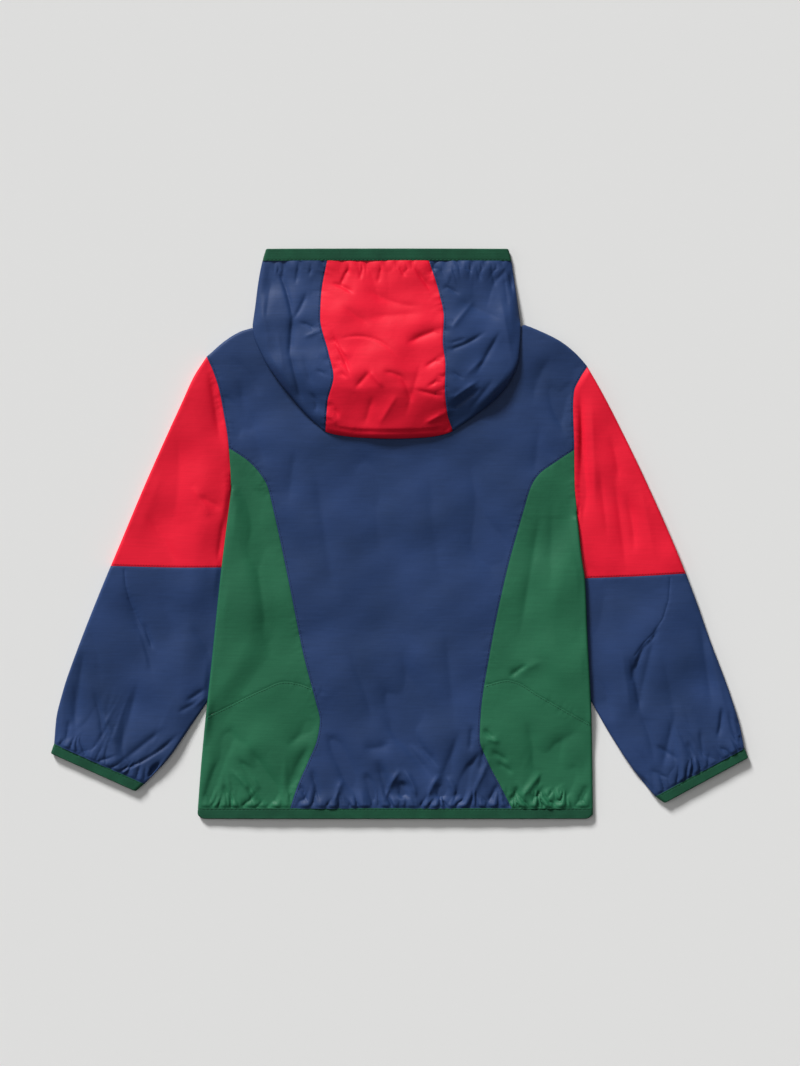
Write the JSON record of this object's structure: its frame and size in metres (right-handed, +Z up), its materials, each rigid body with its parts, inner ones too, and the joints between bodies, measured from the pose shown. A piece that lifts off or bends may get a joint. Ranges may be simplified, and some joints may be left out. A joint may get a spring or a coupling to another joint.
{
  "type": "hooded windbreaker jacket laid flat",
  "caption": "Child's hooded windbreaker laid flat and face down, hood folded on the back: colour-blocked shell with elastic-bound hem, cuffs and hood.",
  "frame": {"origin": "under the middle of the jacket's outline, on the surface that it lies on", "axes": "+X towards the wearer's right, +Y from the hem to the hood, +Z up from the surface, with the jacket's back on top"},
  "size_m": [0.6969, 0.5693, 0.025],
  "materials": {
    "navy_nylon": "satin woven nylon",
    "red_nylon": "satin woven nylon",
    "green_nylon": "satin woven nylon",
    "green_binding": "ribbed elastic binding",
    "zip_tape": "woven zip tape",
    "zip_coil": "moulded nylon coil",
    "zip_metal": "enamelled zinc"
  },
  "bodies": {
    "jacket": {"back_panel": "navy_nylon", "front_left": "navy_nylon", "front_right": "navy_nylon", "side_upper_left": "green_nylon", "side_upper_right": "green_nylon", "side_lower_left": "green_nylon", "side_lower_right": "green_nylon", "hem_binding": "green_binding", "sleeve_upper_left": "red_nylon", "sleeve_upper_right": "red_nylon", "sleeve_lower_left": "navy_nylon", "sleeve_lower_right": "navy_nylon", "cuff_binding_left": "green_binding", "cuff_binding_right": "green_binding", "hood_center": "red_nylon", "hood_side_left": "navy_nylon", "hood_side_right": "navy_nylon", "hood_binding": "green_binding", "zip_tape_left": "zip_tape", "zip_tape_right": "zip_tape", "zip_chain": "zip_coil", "zip_slider": "zip_metal"},
    "pull_tab": {"zip_pull": "zip_metal"}
  },
  "joints": [
    {"name": "pull_hinge", "type": "hinge", "parent": "jacket", "child": "pull_tab", "pos_m": [-0.008, 0.1462, 0.00095], "axis": [1, 0, 0], "range_deg": [0, 150]}
  ]
}
